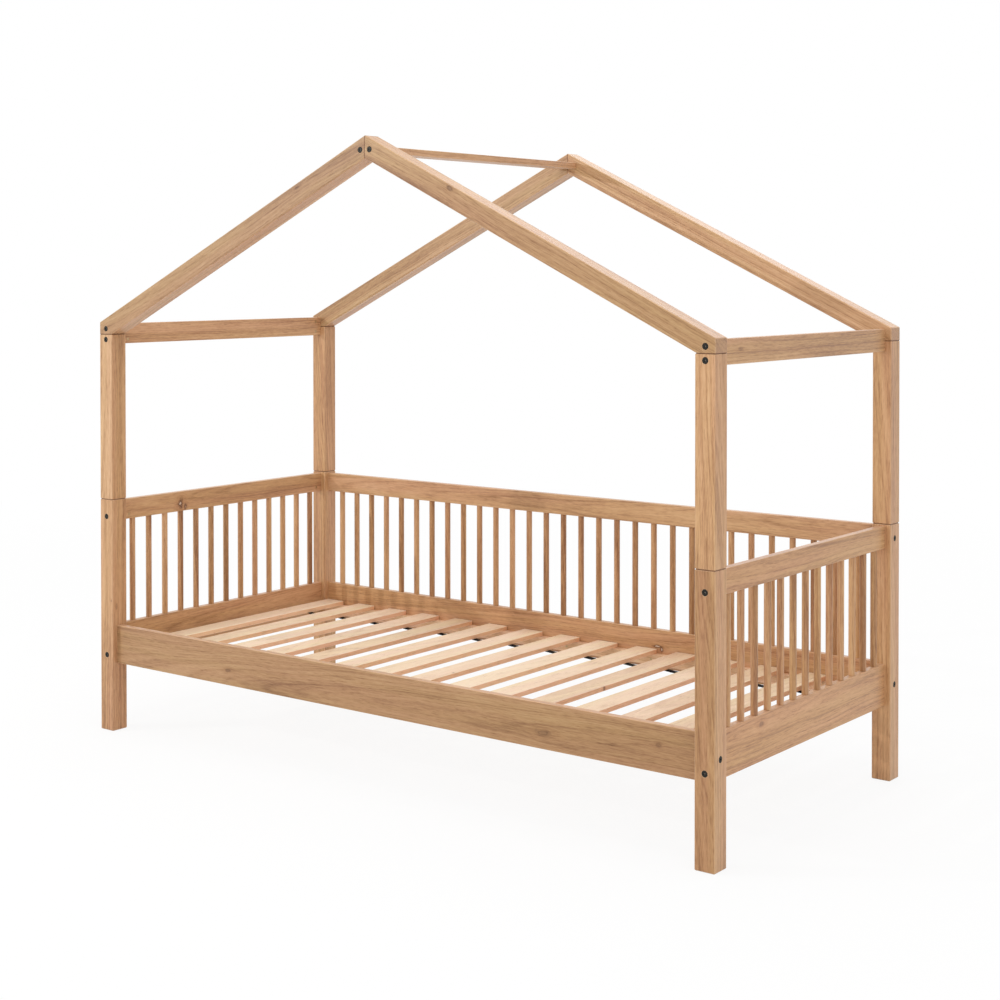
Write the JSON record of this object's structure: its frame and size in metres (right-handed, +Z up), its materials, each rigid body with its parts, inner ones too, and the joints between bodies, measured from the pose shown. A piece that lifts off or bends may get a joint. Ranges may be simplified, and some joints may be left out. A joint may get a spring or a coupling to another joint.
{
  "type": "house frame bed",
  "caption": "Low wooden child's bed in a house-shaped frame, with gables on the long sides, spindle panels at the back and ends, an open front and loose slats.",
  "frame": {"origin": "on the floor, under the middle of the bed", "axes": "+X along the bed, +Y to the back panel (the open front faces -Y), +Z up"},
  "size_m": [2.08, 0.98, 1.7098],
  "materials": {
    "post_wood": "natural clear oil, planed, eased edges",
    "rafter_wood": "natural clear oil, planed, eased edges",
    "beam_wood": "natural clear oil, planed",
    "rail_wood": "natural clear oil, planed, knots",
    "spindle_wood": "natural clear oil, turned",
    "slat_wood": "untreated, planed",
    "ledger_wood": "untreated, planed",
    "dowel_wood": "untreated, fluted",
    "black_steel": "satin black",
    "zinc_steel": "bright zinc",
    "webbing": "matt black polypropylene webbing"
  },
  "bodies": {
    "root": {"apex_dowels": "dowel_wood", "back_panel_bottom_rail": "rail_wood", "back_panel_spindles": "spindle_wood", "back_panel_top_rail": "rail_wood", "eave_barrel_nuts": "zinc_steel", "eave_beam_left": "beam_wood", "eave_beam_right": "beam_wood", "eave_bolts": "black_steel", "front_side_rail": "rail_wood", "ledger_screws": "zinc_steel", "left_panel_bottom_rail": "rail_wood", "left_panel_spindles": "spindle_wood", "left_panel_top_rail": "rail_wood", "lower_post_back_left": "post_wood", "lower_post_back_right": "post_wood", "lower_post_front_left": "post_wood", "lower_post_front_right": "post_wood", "panel_barrel_nuts": "zinc_steel", "panel_bolts": "black_steel", "post_studs": "zinc_steel", "rafter_back_left": "rafter_wood", "rafter_back_right": "rafter_wood", "rafter_front_left": "rafter_wood", "rafter_front_right": "rafter_wood", "rafter_seat_dowels": "dowel_wood", "rail_dowels": "dowel_wood", "ridge_bar": "beam_wood", "ridge_barrel_nuts": "zinc_steel", "ridge_bolts": "black_steel", "right_panel_bottom_rail": "rail_wood", "right_panel_spindles": "spindle_wood", "right_panel_top_rail": "rail_wood", "slat_01": "slat_wood", "slat_02": "slat_wood", "slat_03": "slat_wood", "slat_04": "slat_wood", "slat_05": "slat_wood", "slat_06": "slat_wood", "slat_07": "slat_wood", "slat_08": "slat_wood", "slat_09": "slat_wood", "slat_10": "slat_wood", "slat_11": "slat_wood", "slat_12": "slat_wood", "slat_13": "slat_wood", "slat_14": "slat_wood", "slat_15": "slat_wood", "slat_ledger_back": "ledger_wood", "slat_ledger_front": "ledger_wood", "slat_strap_back": "webbing", "slat_strap_front": "webbing", "strap_staples": "zinc_steel", "upper_post_back_left": "post_wood", "upper_post_back_right": "post_wood", "upper_post_front_left": "post_wood", "upper_post_front_right": "post_wood"}
  },
  "joints": []
}
